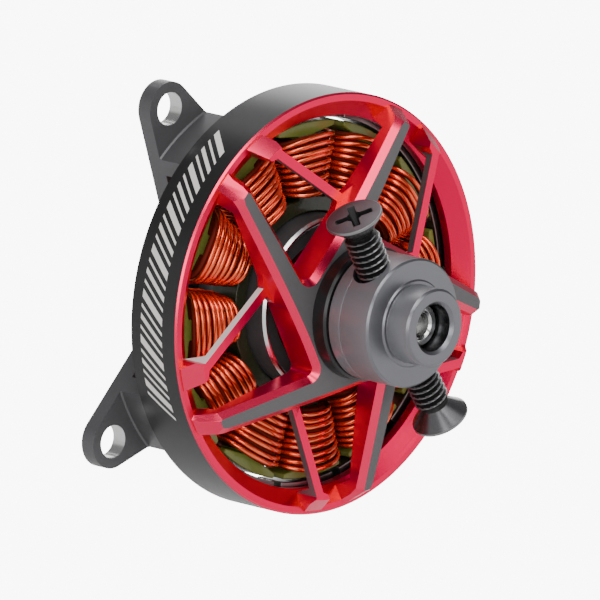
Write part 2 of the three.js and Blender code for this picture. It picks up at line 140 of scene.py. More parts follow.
def new_object(name, vertices, faces, materials=()):
    """A closed mesh from points in millimetres, its normals pointing out."""
    mesh = bpy.data.meshes.new(name)
    mesh.from_pydata([tuple(v) for v in vertices], [], [tuple(f) for f in faces])
    mesh.validate()
    editable = bmesh.new()
    editable.from_mesh(mesh)
    bmesh.ops.remove_doubles(editable, verts=editable.verts, dist=1e-5)
    bmesh.ops.recalc_face_normals(editable, faces=editable.faces)
    editable.to_mesh(mesh)
    editable.free()
    return link(mesh, name, materials)


def bake(obj):
    """Applies the object's modifiers."""
    bpy.context.view_layer.update()
    graph = bpy.context.evaluated_depsgraph_get()
    mesh = bpy.data.meshes.new_from_object(obj.evaluated_get(graph))
    obj.modifiers.clear()
    obj.data = mesh
    return obj


def discard(objects):
    for obj in objects:
        bpy.data.objects.remove(obj)


def combine(obj, tools, operation):
    """Cuts, joins or intersects the object with tools, and removes the tools."""
    for tool in tools:
        step = obj.modifiers.new(operation, "BOOLEAN")
        step.operation = operation
        step.object = tool
        step.solver = "EXACT"
    bake(obj)
    discard(tools)


def rounded(obj, width=EDGE, segments=2, limit=28):
    """Rounds the sharp edges a little, so that they catch the light."""
    step = obj.modifiers.new("rounded", "BEVEL")
    step.width = width * MM
    step.segments = segments
    step.limit_method = "ANGLE"
    step.angle_limit = math.radians(limit)
    step.miter_outer = "MITER_ARC"
    step.harden_normals = True
    for polygon in obj.data.polygons:
        polygon.use_smooth = True
    bake(obj)


def smooth(obj, angle=32):
    """Smooth shading that keeps the edges sharper than the angle."""
    mesh = obj.data
    mesh.polygons.foreach_set("use_smooth", [True] * len(mesh.polygons))
    mesh.set_sharp_from_angle(angle=math.radians(angle))
    return obj


def paint(obj, choose):
    """Gives each face the material index that choose(radius, y, radial, axial) returns.

    radius and y are the face's centre in millimetres; radial and axial are its normal's
    outward and +Y parts.
    """
    for polygon in obj.data.polygons:
        centre = polygon.center / MM
        radius = math.hypot(centre.x, centre.z)
        normal = polygon.normal
        radial = (normal.x * centre.x + normal.z * centre.z) / max(radius, 1e-6)
        polygon.material_index = choose(radius, centre.y, radial, normal.y)


def settle(obj, body, slot, *replaced):
    """Puts a finished piece on its body in place of the CAD nodes that it stands for."""
    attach(obj, body)
    if replaced:
        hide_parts(*replaced)


def filleted(profile, radius, steps=3):
    """A closed profile with each corner replaced by a small arc."""
    points = [Vector(p) for p in profile]
    out = []
    for i, corner in enumerate(points):
        before = points[i - 1] - corner
        after = points[(i + 1) % len(points)] - corner
        bend = before.angle(after, math.pi)
        if bend > math.radians(172):
            out.append(corner)
            continue
        reach = min(radius / math.tan(bend / 2), before.length * 0.45, after.length * 0.45)
        start = corner + before.normalized() * reach
        end = corner + after.normalized() * reach
        for k in range(steps + 1):
            t = k / steps
            out.append(start * (1 - t) ** 2 + corner * 2 * t * (1 - t) + end * t * t)
    return out


def lathe(name, profile, materials, steps=96, fillet=EDGE):
    """Turns a closed profile of (radius, y) about the motor's axis."""
    points = filleted(profile, fillet) if fillet else [Vector(p) for p in profile]
    points = [Vector((max(p.x, 0.0), p.y)) for p in points]
    count = len(points)
    vertices = []
    for k in range(steps):
        turn = 2 * math.pi * k / steps
        vertices += [(p.x * math.cos(turn), p.y, p.x * math.sin(turn)) for p in points]
    faces = []
    for k in range(steps):
        here = k * count
        there = ((k + 1) % steps) * count
        for j in range(count):
            following = (j + 1) % count
            if points[j].x < 1e-6 and points[following].x < 1e-6:
                continue
            faces.append((here + j, here + following, there + following, there + j))
    return new_object(name, vertices, faces, materials)


def loft_faces(sides, rings):
    """The faces of a closed body whose points are rings of as many sides, one after another."""
    last = sides * (rings - 1)
    faces = [tuple(range(sides)), tuple(reversed(range(last, last + sides)))]
    for start in range(0, last, sides):
        for k in range(sides):
            a = start + k
            b = start + (k + 1) % sides
            faces.append((a, b, b + sides, a + sides))
    return faces


def prism(name, outline, front, rear, materials=()):
    """An outline of (x, z) points made as thick as the space between two values of Y."""
    vertices = [(p[0], y, p[1]) for y in (front, rear) for p in outline]
    return new_object(name, vertices, loft_faces(len(outline), 2), materials)


def disc(name, radius, front, rear, centre=(0, 0), steps=48):
    """A round bar along Y."""
    outline = [polar(radius, 360 * k / steps) + Vector(centre) for k in range(steps)]
    return prism(name, outline, front, rear)


def arc(radius, start, end, steps):
    return [polar(radius, start + (end - start) * k / steps) for k in range(steps + 1)]


def turned_outline(outline, degrees):
    turn = Matrix.Rotation(math.radians(degrees), 2)
    return [turn @ Vector(p) for p in outline]


# A line of the X-Z plane is the angle of its normal and its distance from the axis.

def crossing(first, second):
    """The point where two lines meet."""
    a = polar(1, first["angle"])
    b = polar(1, second["angle"])
    determinant = a.x * b.y - a.y * b.x
    return Vector((
        (first["offset"] * b.y - second["offset"] * a.y) / determinant,
        (second["offset"] * a.x - first["offset"] * b.x) / determinant,
    ))


def along(line, distance):
    """The point of the line at a distance from the foot of its normal."""
    return polar(line["offset"], line["angle"]) + polar(distance, line["angle"] - 90)


def moved(line, turn=0.0, shift=0.0):
    return {"angle": line["angle"] + turn, "offset": line["offset"] + shift}


# ---------------------------------------------------------------- materials

def shader(name, **sockets):
    material = bpy.data.materials.new(name)
    material.use_nodes = True
    principled = material.node_tree.nodes["Principled BSDF"]
    for socket, value in sockets.items():
        key = socket.replace("_", " ")
        if isinstance(value, tuple):
            value = (*value, 1.0)
        principled.inputs[key].default_value = value
    return material


def add_node(tree, kind, **settings):
    node = tree.nodes.new(kind)
    for key, value in settings.items():
        setattr(node, key, value)
    return node


def position_mm(tree):
    """The place in the object, in millimetres."""
    coordinates = add_node(tree, "ShaderNodeTexCoord")
    scaled = add_node(tree, "ShaderNodeVectorMath", operation="SCALE")
    scaled.inputs["Scale"].default_value = 1 / MM
    tree.links.new(coordinates.outputs["Object"], scaled.inputs[0])
    return scaled.outputs[0]


def radius_of(tree, place):
    """The distance from the motor's axis."""
    flat = add_node(tree, "ShaderNodeVectorMath", operation="MULTIPLY")
    flat.inputs[1].default_value = (1, 0, 1)
    length = add_node(tree, "ShaderNodeVectorMath", operation="LENGTH")
    tree.links.new(place, flat.inputs[0])
    tree.links.new(flat.outputs[0], length.inputs[0])
    return length.outputs["Value"]


def axial_of(tree, place):
    parts = add_node(tree, "ShaderNodeSeparateXYZ")
    tree.links.new(place, parts.inputs[0])
    return parts.outputs["Y"]


def bump(material, height, strength, distance):
    tree = material.node_tree
    node = add_node(tree, "ShaderNodeBump")
    node.inputs["Strength"].default_value = strength
    node.inputs["Distance"].default_value = distance * MM
    tree.links.new(height, node.inputs["Height"])
    tree.links.new(node.outputs["Normal"], tree.nodes["Principled BSDF"].inputs["Normal"])


def turning_marks(material, scale=6.0, strength=0.3, distance=0.004, axial=False):
    """Fine uneven rings, as a lathe tool leaves them."""
    tree = material.node_tree
    place = position_mm(tree)
    measure = axial_of(tree, place) if axial else radius_of(tree, place)
    noise = add_node(tree, "ShaderNodeTexNoise", noise_dimensions="1D")
    noise.inputs["Scale"].default_value = scale
    noise.inputs["Detail"].default_value = 3
    tree.links.new(measure, noise.inputs["W"])
    bump(material, noise.outputs["Fac"], strength, distance)
    return material


def grain(material, scale, strength, distance, detail=3):
    """An even, fine unevenness."""
    tree = material.node_tree
    noise = add_node(tree, "ShaderNodeTexNoise")
    noise.inputs["Scale"].default_value = scale
    noise.inputs["Detail"].default_value = detail
    tree.links.new(position_mm(tree), noise.inputs["Vector"])
    bump(material, noise.outputs["Fac"], strength, distance)
    return material


def tinted_by_radius(material, stops):
    """The base colour follows the distance from the motor's axis; stops are (radius, colour)."""
    tree = material.node_tree
    share = add_node(tree, "ShaderNodeMath", operation="DIVIDE")
    share.inputs[1].default_value = BELL_R
    ramp = add_node(tree, "ShaderNodeValToRGB")
    tree.links.new(radius_of(tree, position_mm(tree)), share.inputs[0])
    tree.links.new(share.outputs[0], ramp.inputs["Fac"])
    tree.links.new(ramp.outputs["Color"], tree.nodes["Principled BSDF"].inputs["Base Color"])
    for element, (radius, colour) in zip(ramp.color_ramp.elements, stops):
        element.position = radius / BELL_R
        element.color = (*colour, 1.0)


def red_metal(name, colour, roughness):
    return shader(name, Base_Color=colour, Metallic=1.0, Roughness=roughness)


RED = turning_marks(
    red_metal("red_turned", (0.85, 0.0, 0.075), 0.32),
    scale=5, strength=0.6, distance=0.012)
RED_WALL = grain(
    shader("red_wall", Base_Color=(0.80, 0.0, 0.085), Metallic=0.82, Roughness=0.28),
    scale=5, strength=0.08, distance=0.01)
# A lighter, pinker red on a glossier finish for the chamfers and the arms' feet: a painted highlight where
# these edges catch the light.
PINK = grain(
    red_metal("red_edge_painted_highlight", (0.93, 0.030, 0.11), 0.26),
    scale=6, strength=0.08, distance=0.01)
BLACK = grain(
    shader("black_anodised", Base_Color=(0.011, 0.0105, 0.011), Metallic=0.0, Roughness=0.32,
           Specular_IOR_Level=0.42),
    scale=14, strength=0.25, distance=0.004)
MOUNT_BLACK = grain(
    shader("black_anodised_mount", Base_Color=(0.095, 0.093, 0.097), Metallic=0.35, Roughness=0.38),
    scale=14, strength=0.25, distance=0.004)
STRIP = grain(
    shader("black_arm_top", Base_Color=(0.125, 0.118, 0.122), Metallic=0.5, Roughness=0.45),
    scale=16, strength=0.2, distance=0.004)
# A pale finish for one spoke's sides only: a painted highlight where the light falls on that side.
LIT_SPOKE_WALL = shader("painted_lit_spoke_wall", Base_Color=(0.86, 0.85, 0.82), Metallic=0.2, Roughness=0.5)
BRIGHT = shader("bare_cut_edge", Base_Color=(0.72, 0.71, 0.70), Metallic=1.0, Roughness=0.22)
HUB_METAL = turning_marks(
    shader("hub_turned", Base_Color=(0.20, 0.20, 0.215), Metallic=1.0, Roughness=0.36,
           Anisotropic=0.5),
    scale=12, strength=0.25, distance=0.003)
HUB_SIDE = turning_marks(
    shader("hub_turned_side", Base_Color=(0.20, 0.20, 0.215), Metallic=0.45, Roughness=0.36,
           Anisotropic=0.5),
    scale=12, strength=0.35, distance=0.004, axial=True)
# A much darker copy of the hub's metal for the bore's wall: painted shade inside the bore.
HUB_BORE_SHADE = shader("hub_bore_painted_shade", Base_Color=(0.07, 0.07, 0.075), Metallic=1.0, Roughness=0.3)
OXIDE = shader("black_oxide", Base_Color=(0.008, 0.0075, 0.0075), Roughness=0.42,
               Specular_IOR_Level=0.3)
OXIDE_HEAD = grain(
    shader("black_oxide_head", Base_Color=(0.075, 0.062, 0.068), Metallic=0.7, Roughness=0.36),
    scale=7, strength=0.2, distance=0.01)
# A lighter copy of the black oxide for the head's underside cone: a painted highlight.
OXIDE_CONE = shader("black_oxide_cone", Base_Color=(0.115, 0.113, 0.118), Metallic=0.9, Roughness=0.26)
# A lighter copy of the black oxide for the thread crests and the head's rim edge: a painted highlight.
OXIDE_PAINTED_GLINT = shader("black_oxide_painted_glint", Base_Color=(0.24, 0.235, 0.24), Metallic=0.8, Roughness=0.35)
STEEL = shader("polished_steel", Base_Color=(0.62, 0.62, 0.61), Metallic=1.0, Roughness=0.18)
# Plating and flux ring are far darker than bare nickel and steel: painted shade inside the bell.
NICKEL = shader("magnet_plating", Base_Color=(0.22, 0.215, 0.21), Metallic=1.0, Roughness=0.34)
FLUX_STEEL = shader("flux_ring_steel", Base_Color=(0.20, 0.20, 0.205), Metallic=1.0, Roughness=0.36)
EPOXY = grain(
    shader("core_epoxy", Roughness=0.42, Specular_IOR_Level=0.3, Coat_Weight=0.3, Coat_Roughness=0.1),
    scale=1.6, strength=0.6, distance=0.10)
# Near black out to 9.2 mm from the axis and olive from 10.4 mm: painted shade deep among the coils, with
# the tooth tips in the olive epoxy.
tinted_by_radius(EPOXY, ((9.2, (0.022, 0.026, 0.010)), (10.4, (0.170, 0.205, 0.034))))
ENAMEL = grain(
    shader("enamelled_copper", Base_Color=(0.92, 0.14, 0.050), Metallic=0.94, Roughness=0.20,
           Coat_Weight=0.5, Coat_Roughness=0.06),
    scale=3, strength=0.2, distance=0.02)
# A dark, dull copy of the copper for the first layer and the filling: painted shade between the outer
# wires.
ENAMEL_SHADE = shader("enamelled_copper_painted_shade", Base_Color=(0.12, 0.010, 0.004), Metallic=0.0,
                     Roughness=0.7, Specular_IOR_Level=0.15)
PRINT = shader("white_print", Base_Color=(0.78, 0.75, 0.71), Roughness=0.5)


# ---------------------------------------------------------------- bell cap

def arm_top_y(radius):
    """The height of the arms' top, a cone that drops to the rim at its foot."""
    if radius > CONE["end_r"]:
        share = (radius - CONE["end_r"]) / (FOOT["r"] - CONE["end_r"])
        return CONE["end_y"] + share * (FOOT["y"] - CONE["end_y"])
    share = (radius - CONE["boss_r"]) / (CONE["end_r"] - CONE["boss_r"])
    return CONE["boss_y"] + share * (CONE["end_y"] - CONE["boss_y"])


def window_edge(i):
    """Points and outward normals round one window, from one arm's side to the next arm's."""
    first = moved(ARM_LEADING, ARM_PITCH * i)
    second = moved(ARM_TRAILING, ARM_PITCH * (i + 1))
    corner_lines = moved(first, shift=WINDOW_CORNER_R), moved(second, shift=-WINDOW_CORNER_R)
    centre = crossing(*corner_lines)
    reach = 18.0
    normal_first = first["angle"] + 180
    normal_second = second["angle"]
    samples = []
    side_steps = 40
    start = centre + polar(WINDOW_CORNER_R, normal_first)
    for k in range(side_steps, 0, -1):
        samples.append((start + polar(reach * k / side_steps, first["angle"] - 90), normal_first))
    sweep = (normal_second - normal_first) % 360 - 360
    corner_steps = 14
    for k in range(corner_steps + 1):
        angle = normal_first + sweep * k / corner_steps
        samples.append((centre + polar(WINDOW_CORNER_R, angle), angle))
    end = centre + polar(WINDOW_CORNER_R, normal_second)
    for k in range(1, side_steps + 1):
        samples.append((end + polar(reach * k / side_steps, second["angle"] - 90), normal_second))
    return samples


def window_cutter(i):
    """The tool that mills one window and the 45 degree chamfer round it.

    Each level is a distance out from the window's edge and a depth below the arms' top. The
    first level lies behind the rim's back and the last in front of the whole cap.
    """
    overshoot = 0.35
    levels = [(0.0, None), (0.0, ARM_CHAMFER), (ARM_CHAMFER, 0.0),
              (ARM_CHAMFER + overshoot, -overshoot), (ARM_CHAMFER + overshoot, "front")]
    samples = window_edge(i)
    vertices = []
    for shift, depth in levels:
        for point, angle in samples:
            place = point + polar(shift, angle)
            on_top = point + polar(ARM_CHAMFER, angle)
            if depth is None:
                height = RIM["back_y"] + 0.5
            elif depth == "front":
                height = BOSS_FRONT_Y - 2
            else:
                height = arm_top_y(min(on_top.length, FOOT["r"])) + depth
            vertices.append((place.x, height, place.y))
    return new_object(f"window_{i}", vertices, loft_faces(len(samples), len(levels)))


def spoke_outlines(i):
    """The outlines of one spoke, wider at its foot, and of the triangles where it joins an arm."""
    line = moved(SPOKE, ARM_PITCH * i)
    inner = moved(line, shift=-SPOKE["width"] / 2)
    outer = moved(line, shift=SPOKE["width"] / 2)
    sunk_into_arm = 0.3
    arm = moved(ARM_LEADING, ARM_PITCH * i, shift=-sunk_into_arm)
    root_inner = crossing(inner, arm)
    root_outer = crossing(outer, arm)
    out = polar(1, line["angle"] + 90)
    up = polar(1, arm["angle"] - 90)
    across = polar(1, line["angle"])
    foot_r = CONE["end_r"] - 0.35
    foot = math.sqrt(foot_r ** 2 - SPOKE["offset"] ** 2)
    flare = (SPOKE_FOOT - SPOKE["width"]) / 2
    bar = [
        root_inner, along(inner, -foot), along(inner, -foot - flare) - across * flare,
        along(inner, -BELL_R) - across * flare, along(outer, -BELL_R) + across * flare,
        along(outer, -foot - flare) + across * flare, along(outer, -foot), root_outer,
    ]
    gusset = [
        root_outer + up * GUSSET["arm"], root_inner - up * GUSSET["arm"],
        root_inner + out * GUSSET["spoke"], root_outer + out * GUSSET["spoke"],
    ]
    return bar, gusset


def spoke_beside(place, normal):
    """The number of the spoke on whose tall side a point of the cap is, or None."""
    if abs(normal.y) > 0.3:
        return None
    for i in range(ARM_COUNT):
        line = moved(SPOKE, ARM_PITCH * i)
        towards = polar(1, line["angle"])
        beside = abs(abs(place.dot(towards) - line["offset"]) - SPOKE["width"] / 2) < 0.02
        faces = abs(normal.x * towards.x + normal.z * towards.y) > 0.95
        if beside and faces and place.dot(polar(1, line["angle"] + 90)) > 0:
            return i
    return None


def make_cap():
    """The cap as one body: the arms between five windows, the spokes, the rim with skirt, the boss."""
    under_rim = RIM["slope_y"] - RIM_OVERLAP["axial"]
    inner_end = RIM["inner_r"] - RIM_OVERLAP["inner"]
    tail = [(FOOT["r"], under_rim), (RIM["inner_r"] + RIM_OVERLAP["outer"], under_rim)]
    bore = SHAFT_R + SLIP
    star = lathe("bell", [
        (bore, CONE["boss_y"]), (CONE["boss_r"], CONE["boss_y"]), (CONE["end_r"], CONE["end_y"]),
        (FOOT["r"], FOOT["y"]), *tail, (inner_end, ARM_UNDER_Y), (bore, ARM_UNDER_Y),
    ], [], ROUND_STEPS, fillet=0)
    combine(star, [window_cutter(i) for i in range(ARM_COUNT)], "DIFFERENCE")

    web_envelope = [
        (0.5, SPOKE["top_y"]), (CONE["end_r"], SPOKE["top_y"]), (FOOT["r"], FOOT["y"]), *tail,
        (inner_end, SPOKE["under_y"]), (0.5, SPOKE["under_y"]),
    ]
    webs = []
    for i in range(ARM_COUNT):
        bar, gusset = (
            prism("web", outline, BOSS_FRONT_Y, RIM["back_y"]) for outline in spoke_outlines(i))
        combine(bar, [gusset], "UNION")
        combine(bar, [lathe("envelope", web_envelope, [], ROUND_STEPS, fillet=0)], "INTERSECT")
        webs.append(bar)

    rim = lathe("rim", [
        (BELL_R, SKIRT["rear_y"] - SKIRT["edge"]), (BELL_R, RIM_Y + RIM["chamfer"]),
        (BELL_R - RIM["chamfer"], RIM_Y), (RIM["flat_r"], RIM_Y), (RIM["inner_r"], RIM["slope_y"]),
        (RIM["inner_r"], RIM["back_y"]), (SKIRT["inner_r"], RIM["back_y"]),
        (SKIRT["inner_r"], SKIRT["rear_y"]), (BELL_R - SKIRT["edge"], SKIRT["rear_y"]),
    ], [], ROUND_STEPS, fillet=0)
    boss_edge = 0.15
    boss_rear = ARM_UNDER_Y - 0.2
    boss = lathe("boss", [
        (bore, BOSS_FRONT_Y), (CONE["boss_r"] - boss_edge, BOSS_FRONT_Y),
        (CONE["boss_r"], BOSS_FRONT_Y + boss_edge), (CONE["boss_r"], boss_rear), (bore, boss_rear),
    ], [], ROUND_STEPS, fillet=0)
    combine(star, [rim, boss, *webs], "UNION")
    for material in (BLACK, STRIP, RED, RED_WALL, PINK, LIT_SPOKE_WALL, BRIGHT):
        star.data.materials.append(material)
    black, strip, red, wall, pink, painted_lit_spoke_wall, bright = range(7)

    slack = 0.02
    foot_from = FOOT["r"] - 0.6 * (FOOT["r"] - CONE["end_r"])

    def choose(radius, y, radial, axial):
        top = arm_top_y(min(radius, FOOT["r"]))
        if min(radius - BELL_R, y - SKIRT["rear_y"]) > -SKIRT["edge"] - slack:
            return bright
        if radius > SKIRT["inner_r"] - slack and y > RIM_Y + RIM["chamfer"] - slack:
            return black
        # Chamfers and the arms' feet take the lighter red as a painted highlight.
        if radius > BELL_R - RIM["chamfer"] - slack and y > RIM_Y - slack:
            return pink
        if radius > foot_from and axial < -0.3 and y < RIM_Y - slack:
            return pink
        if radius > RIM["inner_r"] - slack and y > RIM_Y - slack:
            return red if axial < -0.5 else wall
        if radius < CONE["boss_r"] + slack and y < CONE["boss_y"] + slack:
            return black
        if y < top + slack and axial < -0.95:
            return strip
        if y < top + ARM_CHAMFER + slack and -0.9 < axial < -0.4:
            return pink
        if y < SPOKE["top_y"] + slack and axial < -0.9:
            return red
        return wall

    paint(star, choose)
    for polygon in star.data.polygons:
        centre = polygon.center / MM
        spoke = spoke_beside(Vector((centre.x, centre.z)), polygon.normal)
        # One spoke's tall sides take the pale finish as a painted highlight; the other four take the dark
        # arm-top black.
        if polygon.material_index == wall and spoke is not None:
            polygon.material_index = painted_lit_spoke_wall if spoke == PAINTED_LIT_SPOKE else strip
    rounded(star, 0.035)
    settle(star, "rotor", "bell_anodised", "bell_cap")


def make_print():
    """A plain pattern of slanted white bars, printed round part of the band."""
    raised, sunk = 0.006, 0.04
    front, rear = PRINT_BAND["front"], PRINT_BAND["rear"]
    steps = 6
    ring = (0, 1, 2, 5, 4, 3)     # round one row: three points on the outside, three inside
    per_row = len(ring)
    vertices = []
    faces = []
    angle = PRINT_BAND["start"]
    for k in range(PRINT_BAND["bars"]):
        width = PRINT_BAND["widths"][k % len(PRINT_BAND["widths"])]
        first = len(vertices)
        for row in range(steps + 1):
            share = row / steps
            y = front + (rear - front) * share
            lean = PRINT_BAND["lean"] * share
            for radius in (BELL_R + raised, BELL_R - sunk):
                for side in (0.0, width / 2, width):
                    place = polar(radius, angle + lean + side)
                    vertices.append((place.x, y, place.y))
        faces.append([first + j for j in ring])
        faces.append([first + per_row * steps + j for j in reversed(ring)])
        for row in range(steps):
            for j, following in zip(ring, ring[1:] + ring[:1]):
                a = first + per_row * row
                b = a + per_row
                faces.append((a + j, a + following, b + following, b + j))
        angle += width + PRINT_BAND["gap"]
    piece = new_object("band_print", vertices, faces, [PRINT])
    settle(piece, "rotor", "bell_anodised")


# ---------------------------------------------------------------- rotor pieces

def make_magnets():
    pitch = 360 / POLE_COUNT
    half = pitch * MAGNET["fill"] / 2
    outline = arc(MAGNET["outer"], -half, half, 12) + arc(MAGNET["inner"], half, -half, 12)
    for i in range(POLE_COUNT):
        piece = prism(f"magnet_{i + 1:02d}_detail", turned_outline(outline, pitch * i),
                      MAGNET["front"], MAGNET["rear"], [NICKEL])
        rounded(piece, 0.1)
        settle(piece, "rotor", "magnet_nickel", f"magnet_{i + 1:02d}")


def make_flux_ring():
    ring = lathe("flux_ring_detail", [
        (FLUX["inner"], FLUX["front"]), (FLUX["outer"], FLUX["front"]),
        (FLUX["outer"], FLUX["rear"]), (FLUX["inner"], FLUX["rear"]),
    ], [FLUX_STEEL], ROUND_STEPS)
    settle(smooth(ring), "rotor", "flux_steel", "flux_ring")


def make_shaft():
    front, rear = SHAFT_Y["front"], SHAFT_Y["rear"]
    groove_r = CLIP_GROOVE["r"]
    front_edge, rear_edge = 0.15, 0.1
    piece = lathe("shaft_detail", [
        (0, front + CENTRE_DRILLING["point"]),
        (CENTRE_DRILLING["r"] - 0.05, front + CENTRE_DRILLING["deep"]),
        (CENTRE_DRILLING["r"], front + front_edge), (CENTRE_DRILLING["mouth_r"], front),
        (SHAFT_R - front_edge, front), (SHAFT_R, front + front_edge),
        (SHAFT_R, CLIP_GROOVE["front"]), (groove_r, CLIP_GROOVE["front"]),
        (groove_r, CLIP_GROOVE["rear"]), (SHAFT_R, CLIP_GROOVE["rear"]),
        (SHAFT_R, rear - rear_edge), (SHAFT_R - rear_edge, rear), (0, rear),
    ], [STEEL], fillet=0.02)
    settle(smooth(piece), "rotor", "shaft_steel", "shaft")


def make_hub():
    """The propeller hub with its seat and pilot, and the two holes in which the screws stand."""
    bore = SHAFT_R + SLIP
    groove = {"y": HUB["groove"], "half": 0.03, "deep": 0.025}
    step = {"r": 2.9, "y": HUB["seat"] - 0.12}
    edge = {"rear": 0.15, "seat": 0.14, "pilot": 0.16, "bore": 0.22}
    body = lathe("hub_detail", [
        (bore, HUB["rear"]), (HUB["r"] - edge["rear"], HUB["rear"]), (HUB["r"], HUB["rear"] - edge["rear"]),
        (HUB["r"], groove["y"] + groove["half"]), (HUB["r"] - groove["deep"], groove["y"]),
        (HUB["r"], groove["y"] - groove["half"]),
        (HUB["r"], HUB["seat"] + edge["seat"]), (HUB["r"] - edge["seat"], HUB["seat"]),
        (step["r"], HUB["seat"]), (step["r"] - 0.1, step["y"]),
        (HUB["pilot_r"], step["y"]), (HUB["pilot_r"], HUB["pilot"] + edge["pilot"]),
        (HUB["pilot_r"] - edge["pilot"], HUB["pilot"]), (bore + edge["bore"], HUB["pilot"]),
        (bore, HUB["pilot"] + edge["bore"]),
    ], [], 160, fillet=0.03)
    holes = []
    for screw in SCREWS.values():
        hole = disc("hole", SCREW["major"] + 0.01, -HUB["r"] - 1, 0.0, steps=56)
        upright = Matrix.Rotation(math.pi / 2, 4, "X")
        turn = Matrix.Rotation(math.radians(90 - screw["angle"]), 4, "Y")
        hole.data.transform(Matrix.Translation((0, SCREW["y"] * MM, 0)) @ turn @ upright)
        holes.append(hole)
    combine(body, holes, "DIFFERENCE")
    for material in (HUB_METAL, HUB_SIDE, OXIDE, HUB_BORE_SHADE):
        body.data.materials.append(material)
    face, side, screw_hole, shaft_bore = range(4)

    def choose(radius, y, radial, axial):
        # The screw holes' walls take the black oxide as painted shade inside the holes.
        if abs(radial) < 0.8 and abs(axial) < 0.3:
            return screw_hole
        # The bore's wall takes the darker metal as painted shade.
        if radius < bore + 0.05 and radial < -0.5:
            return shaft_bore
        return side if abs(axial) < 0.5 else face

    paint(body, choose)
    smooth(body)
    settle(body, "rotor", "hub_metal", "prop_hub")


def thread_surface(start, end):
    """Rings of a helical thread from start to end along X, about the X axis."""
    sides = 56
    rows_per_turn = 14
    flank, crest_top = 2.4, 1.1   # the thread's slope, and its height before it is cut flat
    rows = int((end - start) / SCREW["pitch"] * rows_per_turn)
    vertices = []
    for row in range(rows + 1):
        x = start + (end - start) * row / rows
        for side in range(sides):
            turn = 2 * math.pi * side / sides
            phase = (x / SCREW["pitch"] - side / sides) % 1.0
            crest = min(1.0, max(0.0, crest_top - abs(phase - 0.5) * flank))
            fade = min(1.0, 2 * (end - x) / SCREW["pitch"], (x - start) / SCREW["pitch"] + 0.1)
            radius = SCREW["minor"] + (SCREW["major"] - SCREW["minor"]) * crest * fade
            vertices.append((x, radius * math.cos(turn), radius * math.sin(turn)))
    faces = [tuple(reversed(range(sides)))]
    for row in range(rows):
        for side in range(sides):
            a = row * sides + side
            b = row * sides + (side + 1) % sides
            faces.append((a, b, b + sides, a + sides))
    faces.append(tuple(range(rows * sides, (rows + 1) * sides)))
    return vertices, faces


def phillips_tool(head_top):
    """A cross of four tapered blades that points down from the head's top, along -X."""
    depth = 1.05
    top = head_top + 0.1
    blades = []
    for turned_by in (0, 90):
        vertices = []
        for x, long_half, thin_half in ((top, 1.35, 0.27), (top - depth, 0.4, 0.12)):
            for u, v in ((-1, -1), (1, -1), (1, 1), (-1, 1)):
                place = polar(1, turned_by) * u * long_half + polar(1, turned_by + 90) * v * thin_half
                vertices.append((x, place.x, place.y))
        faces = [(0, 1, 2, 3), (7, 6, 5, 4), (0, 4, 5, 1), (1, 5, 6, 2), (2, 6, 7, 3), (3, 7, 4, 0)]
        blades.append(new_object("blade", vertices, faces))
    sides = 24
    cone = []
    for x, radius in ((top, 0.55), (top - depth, 0.2)):
        cone += [(x, *polar(radius, 360 * k / sides)) for k in range(sides)]
    blades.append(new_object("blade_core", cone, loft_faces(sides, 2)))
    return blades


def make_screw(node, degrees, top):
    """One screw, made along +X and then laid in its hole; degrees and top say where its head is."""
    neck = top - SCREW_HEAD["depth"]
    thread_end = neck - SCREW_HEAD["neck"]
    overlap = 0.05
    shank, shank_faces = thread_surface(top - SCREW["length"], thread_end)
    body = new_object(f"{node}_detail", shank, shank_faces)
    head = lathe("head", [
        (0, thread_end - overlap), (SCREW["minor"] + 0.06, thread_end - overlap),
        (SCREW["minor"] + 0.12, neck), (SCREW_HEAD["r"], top - SCREW_HEAD["edge"]),
        (SCREW_HEAD["r"], top), (0, top),
    ], [], 72, fillet=0.05)
    head.data.transform(Matrix.Rotation(-math.pi / 2, 4, "Z"))
    combine(head, phillips_tool(top), "DIFFERENCE")
    combine(body, [head], "UNION")
    for material in (OXIDE, OXIDE_HEAD, OXIDE_PAINTED_GLINT, OXIDE_CONE):
        body.data.materials.append(material)
    plain, face, painted_glint, cone = range(4)
    for polygon in body.data.polygons:
        centre = polygon.center / MM
        radius = math.hypot(centre.y, centre.z)
        # Thread crests and the head's rim edge take the lighter oxide as a painted highlight.
        on_crest = radius > 0.93 * SCREW["major"] and centre.x < thread_end
        on_edge = radius > SCREW_HEAD["r"] - 0.08 and polygon.normal.x > -0.2
        if on_crest or on_edge:
            polygon.material_index = painted_glint
        elif polygon.normal.x > 0.9 and centre.x > top - 0.06:
            polygon.material_index = face
        # The head's underside cone takes the lighter oxide as a painted highlight.
        elif centre.x > neck and polygon.normal.x < -0.2:
            polygon.material_index = cone
        else:
            polygon.material_index = plain
    smooth(body, 40)
    spin = Matrix.Rotation(math.radians(SCREW_HEAD["recess_turn"]), 4, "X")
    lie = Matrix.Rotation(math.radians(-degrees), 4, "Y")
    body.data.transform(Matrix.Translation((0, SCREW["y"] * MM, 0)) @ lie @ spin)
    settle(body, "rotor", "black_oxide", node)


# ---------------------------------------------------------------- bearings

